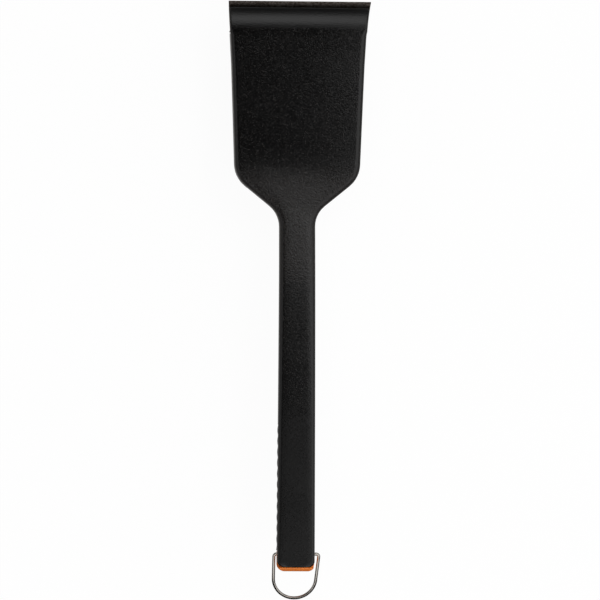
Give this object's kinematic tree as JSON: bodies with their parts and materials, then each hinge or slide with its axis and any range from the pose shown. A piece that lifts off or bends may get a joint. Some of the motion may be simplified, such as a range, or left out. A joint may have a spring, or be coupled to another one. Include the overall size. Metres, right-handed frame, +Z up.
{
  "type": "grill brush",
  "caption": "Long handled grill brush: wide moulded head with nylon bristles on a slide-out pad, flared lip with a steel scraper, ribbed grip, end cap and swinging wire hang loop.",
  "frame": {"origin": "on the surface that the bristle tips stand on, under the middle of the bounding box", "axes": "+Y from the handle towards the scraper, +Z up through the back of the head, +X to the right when the back is seen with the head away from the viewer"},
  "size_m": [0.1118, 0.4699, 0.0625],
  "materials": {
    "shell_plastic": "fine sandy mould grain, satin",
    "underside_plastic": "matte",
    "grip_rubber": "soft matte, ribbed",
    "cap_plastic": "smooth satin, fine grooves",
    "scraper_steel": "dark, tumbled and mottled",
    "screw_steel": "plain",
    "loop_wire": "polished",
    "pad_plastic": "matte",
    "bristle_nylon": "drawn nylon, slightly shiny"
  },
  "bodies": {
    "brush": {"back_shell": "shell_plastic", "scraper_blade": "scraper_steel", "pad_tray": "underside_plastic", "handle_underside": "underside_plastic", "grip_sleeve": "grip_rubber", "end_cap": "cap_plastic", "scraper_screw_1": "screw_steel", "scraper_screw_2": "screw_steel", "scraper_screw_3": "screw_steel", "tray_screw_1": "screw_steel", "tray_screw_2": "screw_steel", "tray_screw_3": "screw_steel", "tray_screw_4": "screw_steel", "handle_screw_1": "screw_steel", "handle_screw_2": "screw_steel", "handle_screw_3": "screw_steel", "cap_screw": "screw_steel"},
    "pad": {"brush_plate": "pad_plastic", "bristle_strip_1": "bristle_nylon", "bristle_strip_2": "bristle_nylon", "bristle_strip_3": "bristle_nylon", "bristle_strip_4": "bristle_nylon", "bristle_strip_5": "bristle_nylon", "bristle_strip_6": "bristle_nylon", "bristle_strip_7": "bristle_nylon", "bristle_strip_8": "bristle_nylon", "bristle_strip_9": "bristle_nylon"},
    "loop": {"hang_loop": "loop_wire"}
  },
  "joints": [
    {"name": "loop_swing", "type": "hinge", "parent": "brush", "child": "loop", "pos_m": [0, -0.1987, 0.05054], "axis": [1, 0, 0], "range_deg": [-140, 100]},
    {"name": "pad_slide", "type": "slide", "parent": "brush", "child": "pad", "axis": [0, 1, 0], "range_m": [0, 0.135]}
  ]
}
